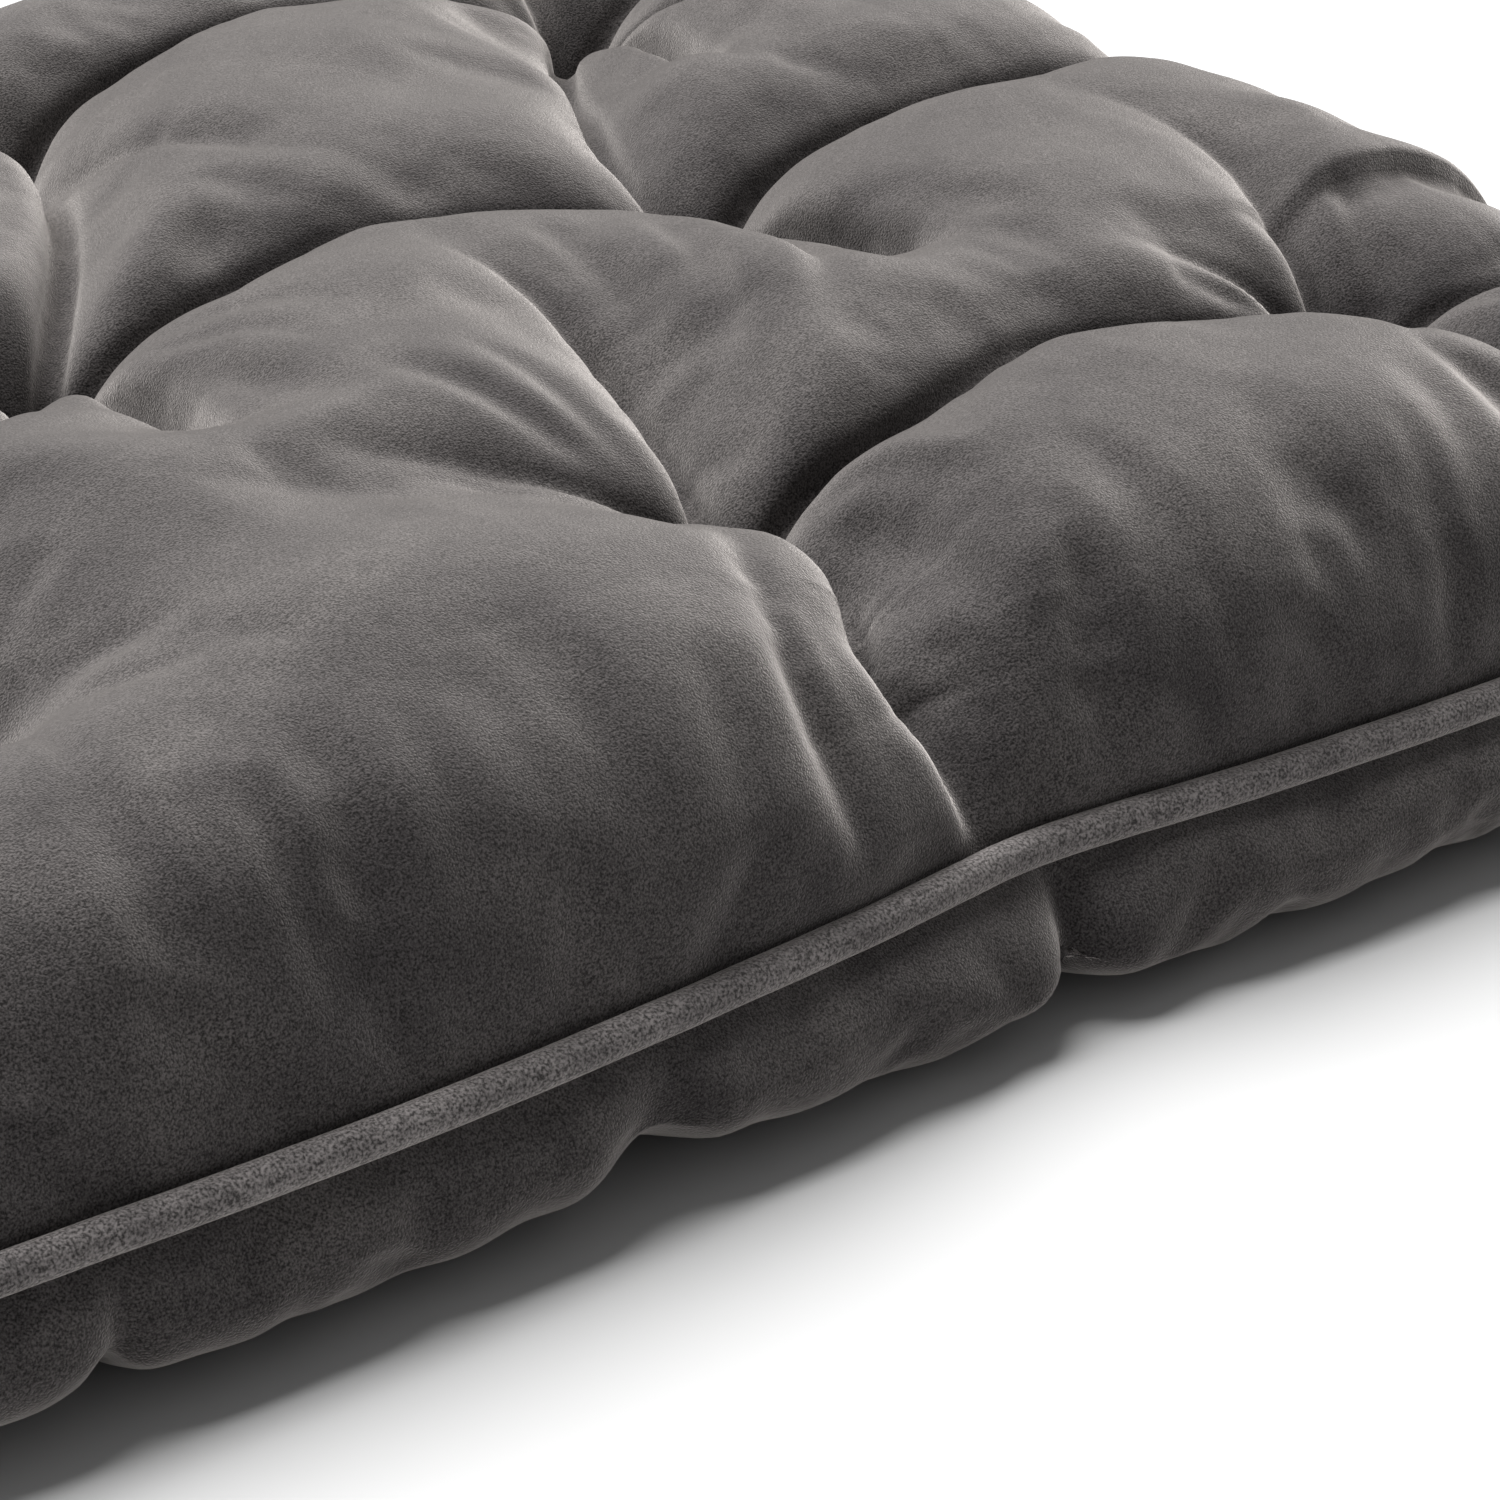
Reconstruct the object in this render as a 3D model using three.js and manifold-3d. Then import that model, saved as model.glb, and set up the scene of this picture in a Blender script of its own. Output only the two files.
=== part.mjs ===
// Floor cushion, tufted right through: two velvet covers sewn to a piped seam, an inner case,
// a fibre filling and eight twine ties that pull the faces together.
// Millimetres, +Z up. The origin is on the floor under the middle of the cushion.

import * as THREE from 'three';
import { mergeVertices } from 'three/addons/utils/BufferGeometryUtils.js';
import Module from 'manifold-3d';

const wasm = await Module();
wasm.setup();

// ---- Driving dimensions ----
const LENGTH = 790; // along X, over the piping
const WIDTH = 700; // along Y, over the piping
const HEIGHT = 145; // floor to the crowns of the puffs
const SEAM_HEIGHT = 50; // floor to the middle of the piping
const CORNER_RADIUS = 34;

const PIPING_DIAMETER = 10;
const SLEEVE_THICKNESS = 1.2;
const FLANGE_WIDTH = 4; // the sleeve's seam allowance, caught between the two covers
const FLANGE_SLOT = 0.5;

const COVER_THICKNESS = 2;
const CASE_THICKNESS = 1;
const LAYER_GAP = 1.2; // air between neighbouring layers
const TOUCH_GAP = 0.3; // between pieces that meet

// Tufts stand in three staggered rows of three, two and three.
const TUFT_PITCH = 250;
const ROW_PITCH = 205;
const TUFT_DEPTH_TOP = 60;
const TUFT_DEPTH_BOTTOM = 22;
const DIMPLE_SPREAD = 34; // standard deviation of the hollow round a tuft
const TWINE_RADIUS = 1.5;
const TIE_HOLE_RADIUS = 2.4;
const STITCH_RADIUS = 6;
const STITCH_THICKNESS = 2.4;

// The covers end just inside the piping ring.
const COVER_HALF_LENGTH = LENGTH / 2 - PIPING_DIAMETER - TOUCH_GAP;
const COVER_HALF_WIDTH = WIDTH / 2 - PIPING_DIAMETER - TOUCH_GAP;
const COVER_CORNER_RADIUS = CORNER_RADIUS - PIPING_DIAMETER / 2 - 2 * TOUCH_GAP;
const RIM_GAP = FLANGE_SLOT / 2 + SLEEVE_THICKNESS + TOUCH_GAP; // seam plane to each cover's rim
const TOP_FULLNESS = 3.4; // how soon each face levels out from the rim: more is sooner
const BOTTOM_FULLNESS = 8;
const SAG = 8; // how far the filling presses the underside against the floor

const tufts = [-1, 0, 1].flatMap((row) => {
  const columns = row === 0 ? [-0.5, 0.5] : [-1, 0, 1];
  return columns.map((column) => new THREE.Vector2(column * TUFT_PITCH, row * ROW_PITCH));
});

// ---- Materials ----
const velvet = new THREE.MeshStandardMaterial({ color: 0x6a6563, roughness: 0.9, metalness: 0 });
const pipingVelvet = new THREE.MeshStandardMaterial({ color: 0x757170, roughness: 0.88, metalness: 0 });
const lining = new THREE.MeshStandardMaterial({ color: 0xe4e1da, roughness: 0.95, metalness: 0 });
const fibre = new THREE.MeshStandardMaterial({ color: 0xf4f3ef, roughness: 1, metalness: 0 });
const cottonCord = new THREE.MeshStandardMaterial({ color: 0xe9e4d6, roughness: 0.95, metalness: 0 });
const twine = new THREE.MeshStandardMaterial({ color: 0x4b4745, roughness: 0.8, metalness: 0 });

// ---- Solids and meshes ----
function solidFrom(geometry) {
  const bare = geometry.clone();
  bare.deleteAttribute('normal');
  bare.deleteAttribute('uv');
  const merged = mergeVertices(bare, 1e-4);
  return new wasm.Manifold(new wasm.Mesh({
    numProp: 3,
    vertProperties: new Float32Array(merged.attributes.position.array),
    triVerts: new Uint32Array(merged.index.array),
  }));
}

function geometryFrom(solid) {
  const { vertProperties, triVerts } = solid.getMesh();
  const geometry = new THREE.BufferGeometry();
  geometry.setAttribute('position', new THREE.BufferAttribute(new Float32Array(vertProperties), 3));
  geometry.setIndex(new THREE.BufferAttribute(new Uint32Array(triVerts), 1));
  geometry.computeVertexNormals();
  return geometry;
}

function indexedGeometry(points, triangles) {
  const geometry = new THREE.BufferGeometry().setFromPoints(points);
  geometry.setIndex(triangles);
  return geometry;
}

function named(name, geometry, material) {
  const mesh = new THREE.Mesh(geometry, material);
  mesh.name = name;
  return mesh;
}

// ---- The cushion's form ----
// Grid lines across a cover: even steps out to the tuft line, then closer towards the rim.
function gridLines(tuftLine, rim) {
  const inner = 6;
  const outer = 4;
  const half = [];
  for (let i = 1; i <= inner; i++) half.push((tuftLine * i) / inner);
  for (let i = 1; i <= outer; i++) {
    half.push(tuftLine + (rim - tuftLine) * Math.sin((Math.PI / 2) * (i / outer)));
  }
  return [...half.map((value) => -value).reverse(), 0, ...half];
}

const xLines = gridLines(TUFT_PITCH, COVER_HALF_LENGTH);
const yLines = gridLines(ROW_PITCH, COVER_HALF_WIDTH);

// Rounds the corners: the last stretch of each corner square becomes a quarter disc.
function roundCorner(x, y) {
  const startX = COVER_HALF_LENGTH - COVER_CORNER_RADIUS;
  const startY = COVER_HALF_WIDTH - COVER_CORNER_RADIUS;
  const a = (Math.abs(x) - startX) / COVER_CORNER_RADIUS;
  const b = (Math.abs(y) - startY) / COVER_CORNER_RADIUS;
  if (a <= 0 || b <= 0) return [x, y];
  const roundedX = startX + COVER_CORNER_RADIUS * a * Math.sqrt(1 - (b * b) / 2);
  const roundedY = startY + COVER_CORNER_RADIUS * b * Math.sqrt(1 - (a * a) / 2);
  return [Math.sign(x) * roundedX, Math.sign(y) * roundedY];
}

// 1 over the middle of the cushion, falling to 0 at the rim with an upright edge.
function crown(x, y, fullness) {
  const fall = (value) => 1 - Math.abs(value) ** fullness;
  return Math.sqrt(Math.max(0, fall(x / COVER_HALF_LENGTH) * fall(y / COVER_HALF_WIDTH)));
}

// 1 at a tuft, dying away round it and held to 0 at the rim.
function dimple(x, y) {
  const place = new THREE.Vector2(x, y);
  const spread = 2 * DIMPLE_SPREAD ** 2;
  const hollow = tufts.reduce((sum, tuft) => sum + Math.exp(-tuft.distanceToSquared(place) / spread), 0);
  return hollow * crown(x, y, TOP_FULLNESS);
}

// A point of the face that lies `inset` inside the outer face: sideways at the rim, downwards further in.
function facePoint(x, y, inset, up) {
  const [roundedX, roundedY] = roundCorner(x, y);
  const sideways = inset * (1 - crown(x, y, TOP_FULLNESS));
  const z = up ? topHeight(x, y, inset) : bottomHeight(x, y, inset);
  return new THREE.Vector3(
    roundedX * (1 - sideways / COVER_HALF_LENGTH),
    roundedY * (1 - sideways / COVER_HALF_WIDTH),
    z,
  );
}

function topHeight(x, y, inset) {
  const rim = SEAM_HEIGHT + RIM_GAP;
  return rim + (HEIGHT - rim - inset) * crown(x, y, TOP_FULLNESS) - TUFT_DEPTH_TOP * dimple(x, y);
}

// The underside lies flat on the floor except round its tufts and near its rim.
function bottomHeight(x, y, inset) {
  const rim = SEAM_HEIGHT - RIM_GAP;
  const rise = crown(x, y, BOTTOM_FULLNESS);
  return inset * rise + Math.max(0, rim - (rim + SAG) * rise + TUFT_DEPTH_BOTTOM * dimple(x, y));
}

function facePoints(inset, up) {
  return yLines.flatMap((y) => xLines.map((x) => facePoint(x, y, inset, up)));
}

const columns = xLines.length;
const rows = yLines.length;

function gridTriangles(first, up) {
  const triangles = [];
  for (let row = 0; row < rows - 1; row++) {
    for (let column = 0; column < columns - 1; column++) {
      const a = first + row * columns + column;
      const [b, c, d] = [a + 1, a + 1 + columns, a + columns];
      triangles.push(...(up ? [a, b, c, a, c, d] : [a, c, b, a, d, c]));
    }
  }
  return triangles;
}

// The grid's outermost points, once round, anticlockwise seen from above.
function rimIndices(first) {
  const rim = [];
  for (let i = 0; i < columns - 1; i++) rim.push(first + i);
  for (let i = 0; i < rows - 1; i++) rim.push(first + i * columns + columns - 1);
  for (let i = columns - 1; i > 0; i--) rim.push(first + (rows - 1) * columns + i);
  for (let i = rows - 1; i > 0; i--) rim.push(first + i * columns);
  return rim;
}

function bandTriangles(lower, upper) {
  return lower.flatMap((a, i) => {
    const next = (i + 1) % lower.length;
    return [a, lower[next], upper[next], a, upper[next], upper[i]];
  });
}

// Two faces joined at their rims: the upper face looks up and the lower one looks down.
function closedBetween(upperPoints, lowerPoints) {
  const second = upperPoints.length;
  const triangles = [
    ...gridTriangles(0, true),
    ...gridTriangles(second, false),
    ...bandTriangles(rimIndices(second), rimIndices(0)),
  ];
  return solidFrom(indexedGeometry([...upperPoints, ...lowerPoints], triangles));
}

// A sheet of cloth over the top or the underside, as thick as the cloth and open at its rim.
function sheetSolid(inset, thickness, up) {
  const outer = facePoints(inset, up);
  const inner = facePoints(inset + thickness, up);
  return up ? closedBetween(outer, inner) : closedBetween(inner, outer);
}

function withTieHoles(solid) {
  return tufts.reduce((body, tuft) => {
    const drill = new THREE.CylinderGeometry(TIE_HOLE_RADIUS, TIE_HOLE_RADIUS, 3 * HEIGHT, 8);
    drill.rotateX(Math.PI / 2).translate(tuft.x, tuft.y, 0);
    return body.subtract(solidFrom(drill));
  }, solid);
}

// ---- Covers, inner case and filling ----
const caseInset = COVER_THICKNESS + LAYER_GAP;
const fillingInset = caseInset + CASE_THICKNESS + LAYER_GAP;

function makeSheet(name, inset, thickness, up, material) {
  return named(name, geometryFrom(withTieHoles(sheetSolid(inset, thickness, up))), material);
}

function makeFilling() {
  const solid = closedBetween(facePoints(fillingInset, true), facePoints(fillingInset, false));
  return named('fibre_filling', geometryFrom(withTieHoles(solid)), fibre);
}

// ---- Piping ----
// The seam's path: a rectangle with round corners, at the middle of the piping.
function seamPath() {
  const centreX = (LENGTH - PIPING_DIAMETER) / 2 - CORNER_RADIUS;
  const centreY = (WIDTH - PIPING_DIAMETER) / 2 - CORNER_RADIUS;
  const cornerSteps = 7;
  const corners = [[1, -1], [1, 1], [-1, 1], [-1, -1]];
  return corners.flatMap(([sx, sy], quarter) => {
    const centre = new THREE.Vector2(sx * centreX, sy * centreY);
    return Array.from({ length: cornerSteps + 1 }, (_, i) => {
      const angle = (quarter - 1 + i / cornerSteps) * (Math.PI / 2);
      const outward = new THREE.Vector2(Math.cos(angle), Math.sin(angle));
      return { outward, point: centre.clone().addScaledVector(outward, CORNER_RADIUS) };
    });
  });
}

// Sweeps a section round the seam. Section x points away from the cushion and section y points up.
function sweepRound(section) {
  const path = seamPath();
  const points = path.flatMap(({ outward, point }) => section.map(({ x, y }) => {
    const place = point.clone().addScaledVector(outward, x);
    return new THREE.Vector3(place.x, place.y, SEAM_HEIGHT + y);
  }));
  const count = section.length;
  const triangles = path.flatMap((_, step) => section.flatMap((__, side) => {
    const here = step * count;
    const there = ((step + 1) % path.length) * count;
    const next = (side + 1) % count;
    return [here + side, there + next, here + next, here + side, there + side, there + next];
  }));
  return geometryFrom(solidFrom(indexedGeometry(points, triangles)));
}

function arcPoints(radius, from, to, steps) {
  const angles = Array.from({ length: steps + 1 }, (_, i) => from + ((to - from) * i) / steps);
  return angles.map((angle) => new THREE.Vector2(radius * Math.cos(angle), radius * Math.sin(angle)));
}

// A bias strip folded round the cord: a tube that opens inwards into two flat seam allowances.
function sleeveSection() {
  const outer = PIPING_DIAMETER / 2;
  const inner = outer - SLEEVE_THICKNESS;
  const slot = FLANGE_SLOT / 2;
  const tail = -(outer + FLANGE_WIDTH);
  const outerMouth = Math.PI - Math.asin((slot + SLEEVE_THICKNESS) / outer);
  const innerMouth = Math.PI - Math.asin(slot / inner);
  return [
    new THREE.Vector2(tail, slot + SLEEVE_THICKNESS),
    new THREE.Vector2(tail, slot),
    ...arcPoints(inner, innerMouth, -innerMouth, 12),
    new THREE.Vector2(tail, -slot),
    new THREE.Vector2(tail, -(slot + SLEEVE_THICKNESS)),
    ...arcPoints(outer, -outerMouth, outerMouth, 12),
  ];
}

function makePipingSleeve() {
  return named('piping_sleeve', sweepRound(sleeveSection()), pipingVelvet);
}

function makePipingCord() {
  const radius = PIPING_DIAMETER / 2 - SLEEVE_THICKNESS - TOUCH_GAP;
  const section = arcPoints(radius, 0, 2 * Math.PI, 10).slice(0, -1);
  return named('piping_cord', sweepRound(section), cottonCord);
}

// ---- Ties ----
// A waxed twine through the whole cushion, with a flat stitch on the top and a knot underneath.
function makeTie(tuft, number) {
  const place = facePoint(tuft.x, tuft.y, 0, true);
  const under = facePoint(tuft.x, tuft.y, 0, false);
  const top = place.z + TOUCH_GAP + stitchClearance(TUFT_DEPTH_TOP);
  const bottom = under.z - TOUCH_GAP - stitchClearance(TUFT_DEPTH_BOTTOM);
  const profile = [
    new THREE.Vector2(0, bottom - STITCH_THICKNESS),
    new THREE.Vector2(STITCH_RADIUS * 0.7, bottom - STITCH_THICKNESS),
    new THREE.Vector2(STITCH_RADIUS, bottom - STITCH_THICKNESS / 2),
    new THREE.Vector2(STITCH_RADIUS * 0.7, bottom),
    new THREE.Vector2(TWINE_RADIUS, bottom),
    new THREE.Vector2(TWINE_RADIUS, top),
    new THREE.Vector2(STITCH_RADIUS * 0.7, top),
    new THREE.Vector2(STITCH_RADIUS, top + STITCH_THICKNESS / 2),
    new THREE.Vector2(STITCH_RADIUS * 0.7, top + STITCH_THICKNESS),
    new THREE.Vector2(0, top + STITCH_THICKNESS),
  ];
  const lathe = new THREE.LatheGeometry(profile, 12);
  lathe.rotateX(Math.PI / 2).translate(place.x, place.y, 0);
  return named(`tuft_tie_${number}`, geometryFrom(solidFrom(lathe)), twine);
}

// How far the hollow's wall rises under the rim of a stitch.
function stitchClearance(depth) {
  return depth * (STITCH_RADIUS / DIMPLE_SPREAD) * 0.7;
}

const cushion = new THREE.Group();
cushion.add(
  makeSheet('cover_top', 0, COVER_THICKNESS, true, velvet),
  makeSheet('cover_bottom', 0, COVER_THICKNESS, false, velvet),
  makeSheet('inner_case_top', caseInset, CASE_THICKNESS, true, lining),
  makeSheet('inner_case_bottom', caseInset, CASE_THICKNESS, false, lining),
  makeFilling(),
  makePipingSleeve(),
  makePipingCord(),
  ...tufts.map((tuft, i) => makeTie(tuft, i + 1)),
);

export default cushion;
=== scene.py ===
"""A tufted velvet floor cushion with a piped seam, on a pale studio floor."""
import math

import bpy
import numpy as np
from mathutils import Euler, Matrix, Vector


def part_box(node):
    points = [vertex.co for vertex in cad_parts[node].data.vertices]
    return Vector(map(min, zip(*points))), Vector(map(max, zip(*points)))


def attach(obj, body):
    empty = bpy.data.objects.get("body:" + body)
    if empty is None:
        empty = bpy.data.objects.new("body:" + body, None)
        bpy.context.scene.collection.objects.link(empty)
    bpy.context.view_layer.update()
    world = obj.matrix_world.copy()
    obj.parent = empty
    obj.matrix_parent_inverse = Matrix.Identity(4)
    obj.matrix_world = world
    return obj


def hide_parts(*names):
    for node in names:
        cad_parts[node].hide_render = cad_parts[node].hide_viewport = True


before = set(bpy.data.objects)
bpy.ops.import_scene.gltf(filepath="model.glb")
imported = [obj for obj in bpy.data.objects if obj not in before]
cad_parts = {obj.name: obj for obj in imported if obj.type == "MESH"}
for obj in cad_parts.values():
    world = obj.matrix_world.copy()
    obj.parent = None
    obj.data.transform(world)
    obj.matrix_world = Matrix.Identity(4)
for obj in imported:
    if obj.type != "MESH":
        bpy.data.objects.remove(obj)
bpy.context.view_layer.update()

MM = 0.001  # shapes are worked out in millimetres

# ---- Sizes from the frame ----
piping_low, piping_high = (np.array(corner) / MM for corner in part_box("piping_sleeve"))
PIPING_RADIUS = (piping_high[2] - piping_low[2]) / 2
SEAM_HEIGHT = (piping_high[2] + piping_low[2]) / 2
SEAM_HALF = piping_high[:2] - PIPING_RADIUS  # along X and along Y
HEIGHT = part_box("cover_top")[1][2] / MM
TUFT_COUNT = 8
STITCH_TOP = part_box("tuft_tie_2")[1][2] / MM

# Tufts 1 to 3 stand along the front, 4 and 5 in the middle row and 6 to 8 along the back.
# Each hollow lies a little off its tie, where the filling has pushed the cloth.
HOLLOW_DRIFT = {1: (-8, 10), 2: (-8, -3), 4: (9, 4), 5: (9, -4), 7: (-22, -6), 8: (-22, -4)}


def hollow_place(number):
    low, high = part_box(f"tuft_tie_{number}")
    tie = np.array([low[0] + high[0], low[1] + high[1]]) / 2 / MM
    return tie + HOLLOW_DRIFT.get(number, (0, 0))


TUFT = {number: hollow_place(number) for number in range(1, TUFT_COUNT + 1)}

# ---- Sizes of the two faces ----
SWELL_ROOM = 3.0  # left above the top for the filling to blow it up
TOP_HEIGHT = HEIGHT - SWELL_ROOM
TUFT_DEPTH = HEIGHT - STITCH_TOP - SWELL_ROOM
UNDERSIDE_TUFT_DEPTH = 20.0
LOWEST = 0.3  # the underside rests this far over the floor
UNDERSIDE_SAG = -6.0  # how low it would hang without the floor

COVER_HALF = SEAM_HALF - 4.5  # the covers' edge lies inside the piping
CORNER_RADIUS = 28.0
EDGE_BAND = 70.0  # the width along the rim that bulges outwards
TOP_FULLNESS = 7.0  # how soon a face levels out from the rim: more is sooner
BOTTOM_FULLNESS = 15.0
TOP_BULGE = 1.5  # how far a face stands out past the rim
BOTTOM_BULGE = 27.0
BULGE_SCALE = 2.1  # rise * (1 - rise**3) peaks at about 1 / 2.1

GRID = (181, 203)  # the simulation's grid: rows along Y, columns along X
FINE = 2  # the shown grid has its lines this many times as close

# ---- The seam's outline ----
PINCH_REACH = 110.0  # how far along the seam a fold draws it in
PINCH_MIDDLE = 42.0  # and the tighter middle of that
SIDE_BOW = 2.0  # how far the back and the sides bow out between their pinches


def pinch(along, place, wide=8.0, tight=4.0):
    """How far a fold that runs out to the seam draws it in, in a shallow bow with a tighter middle."""
    bow = wide * np.exp(-(((along - place) / PINCH_REACH) ** 2))
    return bow + tight * np.exp(-(((along - place) / PINCH_MIDDLE) ** 2))


def drawn_in(x, y):
    """How far the seam is drawn in towards the middle, or bowed out, at each side of the cushion."""
    front = pinch(x, 8) - pinch(x, -225, wide=4, tight=0)
    back = pinch(x, 8, wide=6, tight=6) - SIDE_BOW
    left = pinch(y, 5, wide=6, tight=5) - SIDE_BOW
    right = pinch(y, -4, wide=6, tight=6) - SIDE_BOW
    by_front_or_back = np.abs(y) / COVER_HALF[1] > np.abs(x) / COVER_HALF[0]
    return np.where(by_front_or_back, np.where(y < 0, front, back), np.where(x < 0, left, right))


# ---- The cover's grid ----
def axis_lines(half, count, edge_share=0.88):
    """Even lines over the middle that crowd together towards the rim."""
    t = np.linspace(-1, 1, count)
    return half * ((1 - edge_share) * t + edge_share * np.sin(t * math.pi / 2))


def plan_grid(refine=1):
    """The grid's places in plan, with its lines made refine times as close."""
    rows, columns = ((count - 1) * refine + 1 for count in GRID)
    return np.meshgrid(axis_lines(COVER_HALF[0], columns), axis_lines(COVER_HALF[1], rows))


def round_corners(x, y):
    start = COVER_HALF - CORNER_RADIUS
    a = np.clip((np.abs(x) - start[0]) / CORNER_RADIUS, 0, 1)
    b = np.clip((np.abs(y) - start[1]) / CORNER_RADIUS, 0, 1)
    corner = (a > 0) & (b > 0)
    rounded_x = np.sign(x) * (start[0] + CORNER_RADIUS * a * np.sqrt(1 - b * b / 2))
    rounded_y = np.sign(y) * (start[1] + CORNER_RADIUS * b * np.sqrt(1 - a * a / 2))
    return np.where(corner, rounded_x, x), np.where(corner, rounded_y, y)


def crown(x, y, fullness):
    """0 at the rim, upright there, and 1 over the middle."""
    fall_x = 1 - np.abs(x / COVER_HALF[0]) ** fullness
    fall_y = 1 - np.abs(y / COVER_HALF[1]) ** fullness
    return np.sqrt(np.clip(fall_x * fall_y, 0, None))


def rim_fade(rise, rate):
    """0 at the rim, and 1 from where the face has risen 1 / rate of its way."""
    return np.clip(rise * rate, 0, 1)


def outward(x, y):
    """The direction in plan out to the nearest stretch of rim."""
    inner = COVER_HALF - EDGE_BAND
    dx = np.sign(x) * np.clip(np.abs(x) - inner[0], 0, None)
    dy = np.sign(y) * np.clip(np.abs(y) - inner[1], 0, None)
    length = np.hypot(dx, dy) + 1e-6
    return dx / length, dy / length


def grid_normals(points):
    du = np.gradient(points, axis=1)
    dv = np.gradient(points, axis=0)
    normals = np.cross(du, dv)
    return normals / (np.linalg.norm(normals, axis=2, keepdims=True) + 1e-12)


def eased(field, rounds=2):
    """Evens out a field on the grid, so that wide forms stay and small crumples go."""
    for _ in range(rounds):
        wide = np.pad(field, ((1, 1), (1, 1), (0, 0)), mode="edge")
        beside = wide[:-2, 1:-1] + wide[2:, 1:-1] + wide[1:-1, :-2] + wide[1:-1, 2:]
        field = (beside + 4 * field) / 8
    return field


def doubled(grid):
    """Twice as many lines each way, on smooth curves through the old points."""
    for _ in range(2):
        ends = np.concatenate([2 * grid[:1] - grid[1:2], grid, 2 * grid[-1:] - grid[-2:-1]])
        finer = np.empty((2 * len(grid) - 1, *grid.shape[1:]))
        finer[::2] = grid
        finer[1::2] = (9 * (ends[1:-2] + ends[2:-1]) - ends[:-3] - ends[3:]) / 16
        grid = finer.swapaxes(0, 1)
    return grid


def face(fullness, top, bulge, refine):
    """A plain puffed face: its points and how far each has risen from the rim."""
    x, y = plan_grid(refine)
    rise = crown(x, y, fullness)
    px, py = round_corners(x, y)
    ox, oy = outward(x, y)
    out = BULGE_SCALE * bulge * rise * (1 - rise**3) - drawn_in(x, y) * (1 - rise) ** 1.5
    height = SEAM_HEIGHT + (top - SEAM_HEIGHT) * rise
    return np.stack([px + ox * out, py + oy * out, height], axis=2), rise


# ---- Folds ----
CREASE_ROUNDING = 1.2  # rounds off the sharp bottom of a crease
SHOULDER_SHARE = 0.5  # how much of a fold's shape is its wide shoulder
FOLD_BLEND = 3.0  # more keeps folds that meet more apart
CLEFT_DEPTH = 4.5
CLEFT_HALF_WIDTH = 4.0
CLEFT_FULL_AT = 30.0  # the depth of crease from which its cleft is whole
DEEP_CREASE = 11.0


def fold(points, depth, reach, soft=0.0, wide=105.0, lean=0.0):
    """A crease along a curve in plan. depth and reach are given at even steps along it; soft 1 has no
    sharp bottom. wide is how far off the cloth is still drawn down a little. lean makes the wall on the
    left of the curve shorter and steeper, and the one on its right longer and gentler."""
    return {"points": points, "depth": depth, "reach": reach, "soft": soft, "wide": wide, "lean": lean}


def spline(points, steps=14):
    """A Catmull-Rom curve through the points."""
    points = np.array(points, float)
    padded = np.vstack([2 * points[0] - points[1], points, 2 * points[-1] - points[-2]])
    t = np.linspace(0, 1, steps, endpoint=False)[:, None]
    pieces = []
    for p0, p1, p2, p3 in zip(padded, padded[1:], padded[2:], padded[3:]):
        bend = 2 * p0 - 5 * p1 + 4 * p2 - p3
        twist = 3 * p1 - p0 - 3 * p2 + p3
        pieces.append(0.5 * (2 * p1 + (p2 - p0) * t + bend * t**2 + twist * t**3))
    return np.vstack([*pieces, points[-1:]])


def nearest_on(curve, x, y):
    """Distance from each point to the curve, how far along it the nearest place is, 0 to 1, and the side
    the point is on: -1 on the left of the curve, 1 on its right and between those off its ends."""
    best = np.full(x.shape, 1e9)
    along = np.zeros(x.shape)
    side = np.zeros(x.shape)
    lengths = np.hypot(*np.diff(curve, axis=0).T)
    starts = np.concatenate([[0], np.cumsum(lengths)])
    for a, b, start, length in zip(curve, curve[1:], starts, lengths):
        d = (b - a) / max(length, 1e-9)
        s = np.clip((x - a[0]) * d[0] + (y - a[1]) * d[1], 0, length)
        distance = np.hypot(x - a[0] - s * d[0], y - a[1] - s * d[1])
        across = (x - a[0]) * d[1] - (y - a[1]) * d[0]
        closer = distance < best
        best = np.where(closer, distance, best)
        along = np.where(closer, (start + s) / starts[-1], along)
        side = np.where(closer, across / (distance + 1e-6), side)
    return best, along, side


def value_along(values, along):
    """Values given at even steps along a fold, read between the steps."""
    return np.interp(along, np.linspace(0, 1, len(values)), values)


def crease_distance(folds, x, y):
    """How far each point is from the nearest stretch of deep crease."""
    nearest = np.full(x.shape, 1e9)
    for one in folds:
        distance, along, _ = nearest_on(spline(one["points"]), x, y)
        deep = value_along(one["depth"], along) > DEEP_CREASE
        nearest = np.where(deep, np.minimum(nearest, distance), nearest)
    return nearest


def clefts(folds, x, y):
    """How far the cloth closes into the creases, up to CLEFT_DEPTH, less where a crease is shallow."""
    deepest = np.zeros(x.shape)
    for one in folds:
        distance, along, _ = nearest_on(spline(one["points"]), x, y)
        depth = value_along(one["depth"], along)
        share = np.clip(depth / CLEFT_FULL_AT, 0, 1) ** 2 * (1 - one["soft"])
        across = np.exp(-((distance / CLEFT_HALF_WIDTH) ** 2))
        deepest = np.maximum(deepest, CLEFT_DEPTH * share * across)
    return deepest


def stuffed_wall(t):
    """0 in the crease, rising steeply and levelling out to 1, as a stuffed cloth does."""
    return np.sqrt(t * (2 - t))


def slack_wall(t):
    """0 in the crease, rising gently to 1."""
    return t * t * (3 - 2 * t)


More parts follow.
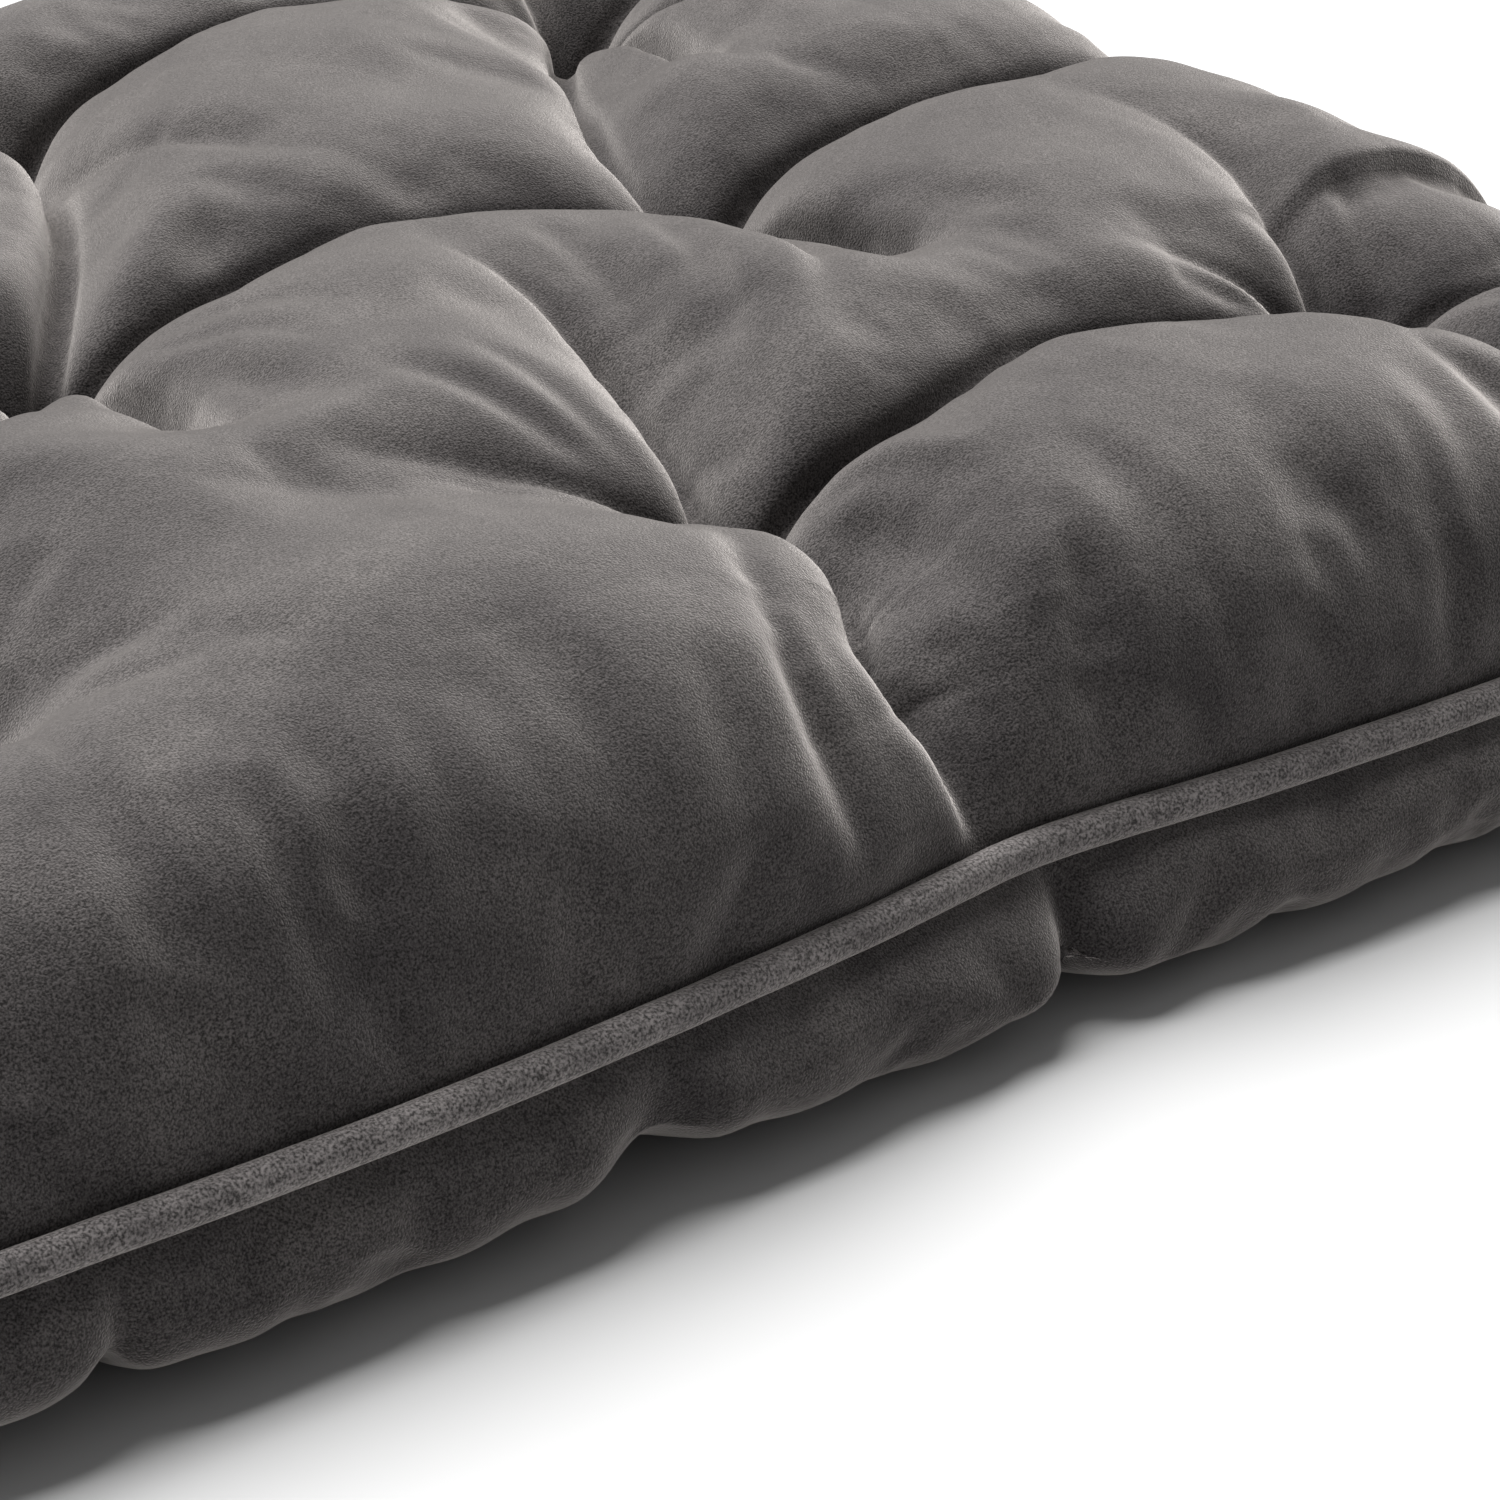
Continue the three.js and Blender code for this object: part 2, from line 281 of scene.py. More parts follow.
def fold_depth(one, x, y):
    """How far a fold presses each point in."""
    curve = spline(one["points"])
    widest = max(max(one["reach"]) * (1 + abs(one["lean"])), one["wide"])
    low, high = curve.min(0) - widest, curve.max(0) + widest
    near = (x > low[0]) & (x < high[0]) & (y > low[1]) & (y < high[1])
    distance, along, side = nearest_on(curve, x[near], y[near])
    reach = value_along(one["reach"], along) * (1 + one["lean"] * side)
    rounded = np.sqrt(distance**2 + CREASE_ROUNDING**2) - CREASE_ROUNDING
    t = np.clip(rounded / reach, 0, 1)
    soft = np.clip(one["soft"] + one["lean"] * side, 0, 1)
    wall = soft * slack_wall(t) + (1 - soft) * stuffed_wall(t)
    if one["wide"]:
        w = np.clip(distance / one["wide"], 0, 1)
        shoulder = w * (2 - w)
        wall += SHOULDER_SHARE * (shoulder - wall)
    result = np.zeros(x.shape)
    result[near] = value_along(one["depth"], along) * (1 - wall)
    return result


def total_depth(folds, x, y):
    """Folds that meet run into each other without adding up."""
    return sum(fold_depth(one, x, y) ** FOLD_BLEND for one in folds) ** (1 / FOLD_BLEND)


# ---- Where the folds lie ----
def tuft_hollows(depth, reach):
    tiny = np.array([0.5, 0])
    return [fold([place - tiny, place + tiny], [depth, depth], [reach, reach]) for place in TUFT.values()]


def row_folds():
    """Folds from tuft to tuft along the rows, bowed away from the front."""
    deep = [TUFT_DEPTH - 6, 32, 22, 32, TUFT_DEPTH - 6]
    reach = [46, 36, 28, 36, 46]
    side_reach = [46, 36, 34, 22]
    corner_depth = [40, 26, 10, 0]
    short_depth = [TUFT_DEPTH - 8, 18, 6, 0]
    return [
        fold([TUFT[1], (-244, -172), (-222, -146), (-190, -122)], corner_depth, [34, 34, 30, 24], 0.4, 60),
        fold([TUFT[2], (-48, -186), (-80, -168), (-112, -152)], short_depth, [40, 24, 15, 10], 0.2, 50),
        fold([TUFT[2], (60, -200), (125, -186), (190, -196), TUFT[3]], deep, [28, 30, 28, 36, 46]),
        fold([TUFT[4], (-66, 10), (0, 20), (66, 12), TUFT[5]], deep, reach),
        fold([TUFT[6], (-200, 212), (-140, 222), (-80, 214), TUFT[7]], deep, reach),
        fold([TUFT[7], (28, 218), (100, 231), (170, 220), TUFT[8]], deep, reach),
        fold([TUFT[4], (-200, 8), (-290, 12), (-380, 5)], [TUFT_DEPTH - 6, 28, 24, 12], side_reach),
        fold([TUFT[5], (200, 12), (290, 14), (380, -4)], [TUFT_DEPTH - 6, 30, 26, 12], side_reach),
    ]


def cross_folds():
    """Folds that leave a tuft towards the next row, and die out or reach another tuft."""
    through = [TUFT_DEPTH - 8, 38, 32, 38, TUFT_DEPTH - 8]
    reach = [44, 34, 30, 34, 44]
    slit_reach = [34, 26, 24, 26, 34]
    dying = [TUFT_DEPTH - 10, 26, 14, 5, 0]
    narrowing = [42, 34, 28, 22, 16]
    brow = [TUFT_DEPTH - 6, 40, 34, 22, 0]
    brow_reach = [36, 22, 18, 15, 10]
    front_brow = [50, 48, 38, 18, 0]
    front_reach = [44, 46, 42, 30, 18]
    short = [TUFT_DEPTH - 8, 22, 8, 0]
    return [
        fold([TUFT[2], (10, -150), (20, -100), (20, -62), (8, -32)], front_brow, front_reach, 0, 70, 0.45),
        fold([TUFT[4], (-90, 38), (-56, 90), (-30, 145), TUFT[7]], through, slit_reach, wide=80, lean=0.4),
        fold([TUFT[5], (138, 46), (166, 106), (196, 160), TUFT[8]], through, reach, lean=0.35),
        fold([TUFT[4], (-110, -50), (-113, -92), (-118, -118)], brow, brow_reach, 0, 50, 0.35),
        fold([TUFT[5], (141, -46), (147, -86), (150, -128)], brow, brow_reach, 0, 50, 0.35),
        fold([TUFT[8], (226, 150), (215, 104), (204, 64)], brow, brow_reach, 0, 50, 0.35),
        fold([TUFT[7], (-22, 160), (-4, 118), (10, 88), (22, 60)], dying, narrowing, 0.3, 40),
        fold([TUFT[4], (-140, -30), (-180, -62), (-206, -90), (-226, -112)], dying, narrowing, 0.3, 40),
        fold([TUFT[3], (228, -180), (200, -162), (168, -150)], short, [40, 28, 18, 10], 0.2, 50),
        fold([TUFT[6], (-236, 150), (-206, 96), (-168, 44), TUFT[4]], through, reach, 0.2),
        fold([TUFT[3], (264, -150), (274, -110), (270, -70), (262, -40)], dying, narrowing, 0.2, 40),
        fold([TUFT[6], (-264, 150), (-276, 110), (-274, 76), (-266, 44)], dying, narrowing, 0.2, 40),
        fold([TUFT[8], (256, 150), (272, 110), (272, 76), (266, 44)], dying, narrowing, 0.2, 40),
    ]


def edge_folds():
    """Folds that run from the outer tufts to the seam, with a second ridge beside the front one."""
    depth = [TUFT_DEPTH - 6, 30, 24, 18]
    reach = [46, 38, 30, 20]
    front_depth = [TUFT_DEPTH - 4, 48, 44, 36]
    front_reach = [34, 36, 34, 24]
    side_depth = [TUFT_DEPTH - 6, 26, 16, 8]
    return [
        fold([TUFT[2], (-1, -256), (-16, -300), (-12, -345)], front_depth, front_reach, lean=-0.45),
        fold([(-26, -232), (-44, -266), (-55, -302), (-56, -340)], [4, 9, 10, 8], [16, 19, 20, 18], 0.6, 0),
        fold([TUFT[7], (-14, 258), (0, 300), (8, 345)], depth, reach),
        fold([TUFT[6], (-258, 258), (-250, 300), (-255, 345)], side_depth, reach, 0.3),
        fold([TUFT[8], (236, 256), (246, 300), (254, 345)], side_depth, reach, 0.3),
        fold([TUFT[3], (258, -256), (264, -300), (256, -345)], side_depth, reach, 0.3),
        fold([TUFT[1], (-300, -206), (-346, -218), (-388, -214)], side_depth, reach, 0.3),
        fold([TUFT[3], (300, -216), (346, -226), (388, -220)], side_depth, reach, 0.3),
        fold([TUFT[6], (-300, 216), (-346, 226), (-388, 220)], side_depth, reach, 0.3),
        fold([TUFT[8], (290, 212), (340, 224), (388, 216)], side_depth, reach, 0.3),
    ]


def underside_folds():
    """Folds from the outer tufts to the seam underneath, and a slack one in the front and in the back."""
    out = [20, 16, 20, 18]
    reach = [44, 34, 26, 20]
    corner = [16, 12, 12, 4]
    slack = [4, 8, 5]
    slack_reach = [30, 28, 24]
    return [
        fold([TUFT[2], (0, -270), (6, -318), (8, -345)], out, reach, wide=0),
        fold([TUFT[7], (-10, 270), (0, 318), (4, 345)], out, reach, wide=0),
        fold([TUFT[4], (-250, 4), (-340, 6), (-390, 4)], out, reach, wide=0),
        fold([TUFT[5], (250, 4), (340, -2), (390, -4)], out, reach, wide=0),
        fold([TUFT[1], (-284, -262), (-304, -318), (-303, -345)], corner, reach, wide=0),
        fold([TUFT[3], (284, -262), (306, -318), (312, -345)], corner, reach, wide=0),
        fold([TUFT[6], (-284, 262), (-306, 318), (-312, 345)], corner, reach, wide=0),
        fold([TUFT[8], (284, 262), (306, 318), (312, 345)], corner, reach, wide=0),
        fold([(-130, -270), (-142, -312), (-145, -345)], slack, slack_reach, 0.9, 0),
        fold([(130, 270), (142, 312), (145, 345)], slack, slack_reach, 0.9, 0),
    ]


def slack_places():
    """Where the filling leaves the cloth a little lower."""
    return [
        fold([(-60, -205), (-110, -188), (-160, -178)], [6, 10, 10, 8, 4], [60, 60], soft=1, wide=0),
        fold([(76, -40), (108, -56), (126, -100)], [8, 11, 10], [50, 46, 40], soft=1, wide=0),
        fold([(-150, -24), (-142, -70), (-140, -110)], [4, 8, 4], [50, 50, 50], soft=1, wide=0),
        fold([(185, 150), (190, 110)], [7, 6], [44, 44], soft=1, wide=0),
    ]


def top_folds():
    return row_folds() + cross_folds() + edge_folds() + tuft_hollows(TUFT_DEPTH, 40)


def bottom_folds():
    return underside_folds() + tuft_hollows(UNDERSIDE_TUFT_DEPTH, 44)


def border_puff(x, y, extra=9.0, width=60.0):
    """The puffs along the back and the sides stand a little higher than the rest."""
    middle_x, middle_y = 325, 275  # the middle of the puffs along the sides, and along the back
    front_end = -150  # the puffs nearest the front are left as they are
    back = np.exp(-(((y - middle_y) / width) ** 2))
    sides = np.exp(-(((np.abs(x) - middle_x) / width) ** 2)) * (y > front_end)
    return extra * np.maximum(back, sides)


def top_points(refine=1):
    plan = plan_grid(refine)
    points, rise = face(TOP_FULLNESS, TOP_HEIGHT, TOP_BULGE, refine)
    depth = total_depth(top_folds(), *plan) * rim_fade(rise, 1.8)
    depth -= border_puff(*plan) * rise
    depth += sum(fold_depth(one, *plan) for one in slack_places())
    return points - grid_normals(points) * eased(depth[..., None])


def bottom_points(refine=1):
    points, rise = face(BOTTOM_FULLNESS, UNDERSIDE_SAG, BOTTOM_BULGE, refine)
    depth = total_depth(bottom_folds(), *plan_grid(refine)) * rim_fade(rise, 2.2)
    points = points + grid_normals(points) * eased(depth[..., None])
    points[..., 2] = np.clip(points[..., 2], LOWEST, None)
    return points


# ---- Wrinkles ----
SEED = 7
TOP_SWELL = 1.1  # how far the uneven filling raises the cloth
BOTTOM_SWELL = 0.8
TOP_LUMP_SIZE = 75.0
BOTTOM_LUMP_SIZE = 60.0
TOP_GATHERS = {"inward": 84.0, "depth": 3.6}
BOTTOM_GATHERS = {"inward": 44.0, "depth": 2.2}
SPOKED_TUFTS = (1, 3, 6)
CREASE_CLEAR = 4.0  # wrinkles start this far from a deep crease
CREASE_CLEAR_RAMP = 16.0  # and are whole this much further off


def wrinkle(points, depth, reach):
    """A shallow crease that fades at both ends."""
    return fold(points, [0, 0.8 * depth, depth, 0.7 * depth, 0], [reach, reach], soft=0.75, wide=0)


def tuft_wrinkles():
    """The drawn cloth round the front tufts."""
    return [
        wrinkle([(50, -24), (48, -60), (40, -96), (26, -128)], 3.6, 9),
        wrinkle([(84, -36), (76, -72), (62, -108), (40, -146)], 4.6, 9),
        wrinkle([(112, -40), (106, -84), (92, -126), (66, -160)], 5.0, 10),
        wrinkle([(-40, -208), (-59, -196), (-76, -181), (-98, -173)], 3.0, 7),
        wrinkle([(-30, -196), (-38, -180), (-46, -158), (-60, -130), (-74, -104)], 3.4, 9),
        wrinkle([(-22, -188), (-26, -168), (-30, -138), (-40, -110)], 2.8, 8),
        wrinkle([(-112, -38), (-102, -56), (-96, -82), (-90, -112)], 3.2, 8),
        wrinkle([(-108, -26), (-90, -40), (-74, -64), (-66, -95)], 3.2, 8),
        wrinkle([(-104, -18), (-80, -26), (-58, -44), (-44, -70)], 2.4, 8),
        wrinkle([(8, -224), (18, -250), (20, -284), (12, -312)], 3.0, 8),
        wrinkle([(14, -214), (34, -236), (44, -266)], 2.4, 8),
    ]


def spokes(rng, place, count=9):
    """Wrinkles that run out from a tuft all round it."""
    turns = np.linspace(0, 2 * math.pi, count, endpoint=False) + rng.uniform(-0.2, 0.2, count)
    result = []
    for turn in turns:
        radii = np.linspace(rng.uniform(24, 32), rng.uniform(60, 92), 4)
        bends = turn + rng.uniform(-0.25, 0.25) * np.linspace(0, 1, 4)
        line = place + np.stack([radii * np.cos(bends), radii * np.sin(bends)], axis=1)
        result.append(wrinkle(line, rng.uniform(1.6, 3.4), rng.uniform(6, 9)))
    return result


def seam_gathers(rng, inward, depth, corner_clear=40):
    """Short creases where the cloth is drawn up along the seam, on all four sides."""
    result = []
    for axis, sign in ((1, -1), (1, 1), (0, -1), (0, 1)):
        along = -COVER_HALF[1 - axis] + corner_clear
        while along < COVER_HALF[1 - axis] - corner_clear:
            lean = rng.uniform(-4, 20)
            run = rng.uniform(0.6, 1.0) * inward
            line = np.zeros((3, 2))
            line[:, axis] = sign * (COVER_HALF[axis] - np.array([1, 0.5 * run, run]))
            line[:, 1 - axis] = along + lean * np.array([0, 0.6, 1])
            result.append(wrinkle(line, depth * rng.uniform(0.4, 1), rng.uniform(9, 17)))
            along += rng.uniform(16, 40)
    return result


def lumps(rng, x, y, size, count=24):
    """Slow uneven swells of the filling, mostly from about -1 to 1."""
    total = np.zeros(x.shape)
    for _ in range(count):
        way = rng.uniform(0, 2 * math.pi)
        wave = 2 * math.pi / (size * rng.uniform(0.7, 1.6))
        total += np.sin(wave * (x * math.cos(way) + y * math.sin(way)) + rng.uniform(0, 2 * math.pi))
    return total / math.sqrt(count)


def add_wrinkles(points, wrinkles, swell, creases, out):
    """Presses the wrinkles into a fine grid of the cover and raises it by swell, square to its surface.
    Both die out towards a deep crease, so its edge stays clean, and at the seam. out is 1 where the
    grid's normals point out of the cushion and -1 where they point into it."""
    x, y = plan_grid(FINE)
    pressed = sum(fold_depth(one, x, y) for one in wrinkles)
    clear = slack_wall(np.clip((crease_distance(creases, x, y) - CREASE_CLEAR) / CREASE_CLEAR_RAMP, 0, 1))
    press = eased((pressed - swell)[..., None] * clear[..., None]) + clefts(creases, x, y)[..., None]
    press *= rim_fade(crown(x, y, TOP_FULLNESS), 3)[..., None]
    return points - out * grid_normals(points) * press


# ---- Mesh making ----
PIPING_RINGS = 1400
PIPING_STAND_OFF = 3.2  # how far the piping's middle lies outside the covers' edge
PIPING_FULLNESS = 1.08  # its radius against the CAD sleeve's


def grid_faces(rows, columns, up=True):
    index = np.arange(rows * columns).reshape(rows, columns)
    a, b, c, d = index[:-1, :-1], index[:-1, 1:], index[1:, 1:], index[1:, :-1]
    quads = np.stack([a, b, c, d] if up else [a, d, c, b], axis=-1)
    return quads.reshape(-1, 4)


def mesh_object(name, points, faces, material=None):
    mesh = bpy.data.meshes.new(name)
    mesh.from_pydata((np.asarray(points).reshape(-1, 3) * MM).tolist(), [], np.asarray(faces).tolist())
    mesh.polygons.foreach_set("use_smooth", [True] * len(mesh.polygons))
    if material is not None:
        mesh.materials.append(material)
    piece = bpy.data.objects.new(name, mesh)
    bpy.context.collection.objects.link(piece)
    return piece


def rim_loop(points):
    return np.vstack([points[0, :-1], points[:-1, -1], points[-1, :0:-1], points[:0:-1, 0]])


def resample(loop, count):
    """A closed loop as that many points at even steps."""
    closed = np.vstack([loop, loop[:1]])
    lengths = np.concatenate([[0], np.cumsum(np.linalg.norm(np.diff(closed, axis=0), axis=1))])
    s = np.linspace(0, lengths[-1], count, endpoint=False)
    return np.stack([np.interp(s, lengths, closed[:, k]) for k in range(3)], axis=1)


def tube_round(path, radius, stand_off, sides=24):
    """A closed tube that runs stand_off outside a closed path, its rings upright across the path."""
    ahead = np.roll(path, -1, axis=0) - np.roll(path, 1, axis=0)
    ahead /= np.linalg.norm(ahead, axis=1, keepdims=True)
    sideways = np.cross(ahead, [0, 0, 1])
    sideways /= np.linalg.norm(sideways, axis=1, keepdims=True)
    upward = np.cross(sideways, ahead)
    angles = np.linspace(0, 2 * math.pi, sides, endpoint=False)[None, :, None]
    path = path + stand_off * sideways
    around = np.cos(angles) * sideways[:, None] + np.sin(angles) * upward[:, None]
    rings = path[:, None] + radius * around
    here = np.arange(len(path) * sides).reshape(len(path), sides)
    beside = np.roll(here, -1, axis=1)
    faces = np.stack([here, np.roll(here, -1, axis=0), np.roll(beside, -1, axis=0), beside], axis=-1)
    return rings, faces.reshape(-1, 4)


# ---- Cloth simulation ----
CLOTH_FRAMES = 14
CLOTH_PRESSURE = 3.0
CLOTH_GROWTH = 0.015  # how much larger the cloth is cut than the shape it starts from
CLOTH_BENDING = 1.5
FURTHEST_MOVE = 12.0
CREASE_HOLD = 10.0  # how far the hold of a deep crease takes to die out
FULL_HOLD = 1.2  # over 1, so that the hold is whole close to the crease
FLOOR_HOLD = 0.5  # what is this close to the floor is held


def join_rims(top_grid, bottom_grid):
    for edge in (np.s_[0], np.s_[-1], np.s_[:, 0], np.s_[:, -1]):
        top_grid[edge] = bottom_grid[edge] = (top_grid[edge] + bottom_grid[edge]) / 2


def closed_cover(top_grid, bottom_grid):
    """Both faces as one closed mesh that shares its rim, and where each face's points are in it."""
    top_index = np.arange(top_grid[..., 0].size).reshape(top_grid.shape[:2])
    inside = np.zeros(top_index.shape, bool)
    inside[1:-1, 1:-1] = True
    bottom_index = top_index.copy()
    bottom_index[inside] = top_index.size + np.arange(inside.sum())
    points = np.vstack([top_grid.reshape(-1, 3), bottom_grid[inside]])
    top_faces = grid_faces(*top_index.shape)
    bottom_faces = bottom_index.reshape(-1)[grid_faces(*top_index.shape, up=False)]
    return points, np.vstack([top_faces, bottom_faces]), top_index, bottom_index


def hold_weights(points, top_index, bottom_index):
    """1 where the cover is held still: at the seam, in the deep creases and on the floor."""
    weights = (points[:, 2] < LOWEST + FLOOR_HOLD).astype(float)
    for edge in (top_index[0], top_index[-1], top_index[:, 0], top_index[:, -1]):
        weights[edge] = 1
    for folds, index in ((top_folds(), top_index), (bottom_folds(), bottom_index)):
        near = np.clip(FULL_HOLD - crease_distance(folds, *plan_grid()) / CREASE_HOLD, 0, 1)
        weights[index] = np.maximum(weights[index], near)
    return weights


def add_cloth(body, frames):
    cloth = body.modifiers.new("cloth", "CLOTH")
    settings = cloth.settings
    settings.quality = 5
    settings.mass = 0.25
    settings.tension_stiffness = 20
    settings.compression_stiffness = 8
    settings.shear_stiffness = 6
    settings.bending_stiffness = CLOTH_BENDING
    settings.air_damping = 4
    settings.use_pressure = True
    settings.uniform_pressure_force = CLOTH_PRESSURE
    settings.shrink_min = -CLOTH_GROWTH
    settings.vertex_group_mass = "pins"
    settings.effector_weights.gravity = 0
    cloth.collision_settings.use_collision = False
    cloth.point_cache.frame_start = 1
    cloth.point_cache.frame_end = frames


def places_after(body, frames):
    """Steps through the simulation and gives where the body's points end up, in millimetres."""
    scene = bpy.context.scene
    for frame_number in range(1, frames + 1):
        scene.frame_set(frame_number)
    blown = body.evaluated_get(bpy.context.evaluated_depsgraph_get()).to_mesh()
    places = np.empty(len(blown.vertices) * 3)
    blown.vertices.foreach_get("co", places)
    bpy.data.objects.remove(body)
    scene.frame_set(1)
    return places.reshape(-1, 3) / MM


def simulate(top_grid, bottom_grid):
    """Blows the cover up round its filling, held at the seam, the creases and the floor.
    Gives how far each point of the two faces moves."""
    join_rims(top_grid, bottom_grid)
    points, faces, top_index, bottom_index = closed_cover(top_grid, bottom_grid)
    body = mesh_object("cloth_run", points, faces)
    pins = body.vertex_groups.new(name="pins")
    for number, weight in enumerate(hold_weights(points, top_index, bottom_index)):
        if weight > 0:
            pins.add([number], weight, "REPLACE")
    add_cloth(body, CLOTH_FRAMES)
    move = places_after(body, CLOTH_FRAMES) - points
    length = np.linalg.norm(move, axis=1, keepdims=True)
    move *= FURTHEST_MOVE * np.tanh(length / FURTHEST_MOVE) / (length + 1e-9)
    return eased(move[top_index]), eased(move[bottom_index])


# ---- Materials ----
VELVET_DARK = (0.037, 0.0333, 0.0347)
VELVET_LIGHT = (0.060, 0.055, 0.0532)
PIPING_DARK = (0.095, 0.087, 0.088)
PIPING_LIGHT = (0.16, 0.148, 0.144)
SHEEN = 0.9
SHEEN_ROUGHNESS = 0.43
SHEEN_TINT = (0.93, 0.87, 0.83)
TWINE_DARK = (0.03, 0.026, 0.024)
TWINE_LIGHT = (0.09, 0.08, 0.075)

NAP_SIZE = 70  # the soft patches in which the pile lies one way, in millimetres like the rest
BRUSHED_SIZE = 16
GRAIN_SIZE = 0.68
BRUSHED_RELIEF = 2.0
GRAIN_RELIEF = 0.6
TWINE_RELIEF = 0.6
PIPING_PILE = 1.25  # the piping's grain is that much coarser


def node_of(material, kind, **values):
    """A new node, with its inputs (by name) or its own settings filled in."""
    node = material.node_tree.nodes.new(kind)
    for key, value in values.items():
        if key in node.inputs:
            node.inputs[key].default_value = value
        else:
            setattr(node, key, value)
    return node


def new_material(name, roughness):
    """A material with nodes, and its shader."""
    material = bpy.data.materials.new(name)
    material.use_nodes = True
    shader = material.node_tree.nodes["Principled BSDF"]
    shader.inputs["Roughness"].default_value = roughness
    return material, shader


def noise(material, vector, size, detail=2.0, roughness=0.5, distortion=0.0):
    """Noise whose blots are about that many millimetres across."""
    texture = node_of(material, "ShaderNodeTexNoise", Scale=1 / (size * MM), Detail=detail,
                      Roughness=roughness, Distortion=distortion)
    material.node_tree.links.new(vector, texture.inputs["Vector"])
    return texture.outputs["Fac"]


def spread(material, value, low, high, reach=0.2):
    """Maps the middle of a noise's range to low..high."""
    ramp = node_of(material, "ShaderNodeMapRange")
    ramp.inputs["From Min"].default_value = 0.5 - reach
    ramp.inputs["From Max"].default_value = 0.5 + reach
    ramp.inputs["To Min"].default_value = low
    ramp.inputs["To Max"].default_value = high
    material.node_tree.links.new(value, ramp.inputs["Value"])
    return ramp.outputs["Result"]


def multiply(material, first, second):
    product = node_of(material, "ShaderNodeMath", operation="MULTIPLY")
    material.node_tree.links.new(first, product.inputs[0])
    material.node_tree.links.new(second, product.inputs[1])
    return product.outputs["Value"]


def between(material, dark, light, factor):
    """A colour that goes from dark to light as the factor goes from 0 to 1."""
    tone = node_of(material, "ShaderNodeMix", data_type="RGBA")
    tone.inputs["A"].default_value = (*dark, 1)
    tone.inputs["B"].default_value = (*light, 1)
    material.node_tree.links.new(factor, tone.inputs["Factor"])
    return tone.outputs["Result"]


def bumped(material, height, strength, relief, normal=None):
    """A normal raised by height, up to relief millimetres, on top of another one if it is given."""
    bump = node_of(material, "ShaderNodeBump", Strength=strength, Distance=relief * MM)
    material.node_tree.links.new(height, bump.inputs["Height"])
    if normal is not None:
        material.node_tree.links.new(normal, bump.inputs["Normal"])
    return bump.outputs["Normal"]


def velvet_material(name, dark, light, pile=1.0):
    """Short-pile velvet: brushed nap in soft patches, a fine pile grain and a sheen at grazing angles."""
    material, shader = new_material(name, 0.95)
    shader.inputs["Specular IOR Level"].default_value = 0.12
    shader.inputs["Sheen Weight"].default_value = SHEEN
    shader.inputs["Sheen Roughness"].default_value = SHEEN_ROUGHNESS
    shader.inputs["Sheen Tint"].default_value = (*SHEEN_TINT, 1)
    links = material.node_tree.links
    place = node_of(material, "ShaderNodeTexCoord").outputs["Object"]

    nap = noise(material, place, NAP_SIZE, detail=5, roughness=0.6, distortion=0.6)
    brushed = noise(material, place, BRUSHED_SIZE)
    grain = noise(material, place, GRAIN_SIZE * pile, detail=1)
    patches = multiply(material, spread(material, nap, 0.8, 1.2), spread(material, brushed, 0.9, 1.1))
    shade = multiply(material, patches, spread(material, grain, 0.25, 1.75, reach=0.18))

    colour = node_of(material, "ShaderNodeVectorMath", operation="SCALE")
    links.new(between(material, dark, light, spread(material, nap, 0, 1, reach=0.25)), colour.inputs[0])
    links.new(shade, colour.inputs["Scale"])
    links.new(colour.outputs["Vector"], shader.inputs["Base Color"])

    lie = bumped(material, brushed, strength=0.3, relief=BRUSHED_RELIEF)
    pile_normal = bumped(material, grain, strength=0.6, relief=GRAIN_RELIEF, normal=lie)
    links.new(pile_normal, shader.inputs["Normal"])
    return material


def twine_material():
    """Waxed twine: slanting strands with fine fibres and a dull gloss."""
    material, shader = new_material("twine", 0.55)
    links = material.node_tree.links
    place = node_of(material, "ShaderNodeTexCoord").outputs["Object"]
    strands = node_of(material, "ShaderNodeTexWave", bands_direction="DIAGONAL", Scale=160.0,
                      Distortion=0.6)
    links.new(place, strands.inputs["Vector"])
    fibres = noise(material, place, 0.5, detail=3)
    twist = multiply(material, strands.outputs["Fac"], spread(material, fibres, 0.7, 1.0))
    links.new(between(material, TWINE_DARK, TWINE_LIGHT, twist), shader.inputs["Base Color"])
    links.new(bumped(material, twist, strength=0.8, relief=TWINE_RELIEF), shader.inputs["Normal"])
    return material


def floor_material():
    material, shader = new_material("floor_paint", 0.9)
    shader.inputs["Base Color"].default_value = (*FLOOR_COLOUR, 1)
    return material


# ---- Camera, light and floor ----
CAMERA_PLACE = (-0.748, -1.1785, 0.65)  # metres, like the floor
CAMERA_DOWN = 26.74  # degrees below level
CAMERA_TURN = -37.61  # degrees from looking along Y
LENS = 110.4
KEY_FROM = (-0.05, 0.82, 1.14)  # from behind and above
KEY_STRENGTH = 7.3
KEY_SOFTNESS = 54  # degrees
WORLD_STRENGTH = 0.2
FLOOR_COLOUR = (0.62, 0.62, 0.62)
FLOOR_HALF = 30


def add_camera():
    data = bpy.data.cameras.new("camera")
    data.sensor_width = 36
    data.lens = LENS
    data.clip_end = 50
    camera = bpy.data.objects.new("camera", data)
    camera.location = CAMERA_PLACE
    camera.rotation_euler = Euler((math.radians(90 - CAMERA_DOWN), 0, math.radians(CAMERA_TURN)))
    bpy.context.collection.objects.link(camera)
    bpy.context.scene.camera = camera


def add_key_light():
    data = bpy.data.lights.new("key", "SUN")
    data.energy = KEY_STRENGTH
    data.angle = math.radians(KEY_SOFTNESS)
    light = bpy.data.objects.new("key", data)
    light.rotation_euler = (-Vector(KEY_FROM)).to_track_quat("-Z", "Y").to_euler()
    bpy.context.collection.objects.link(light)


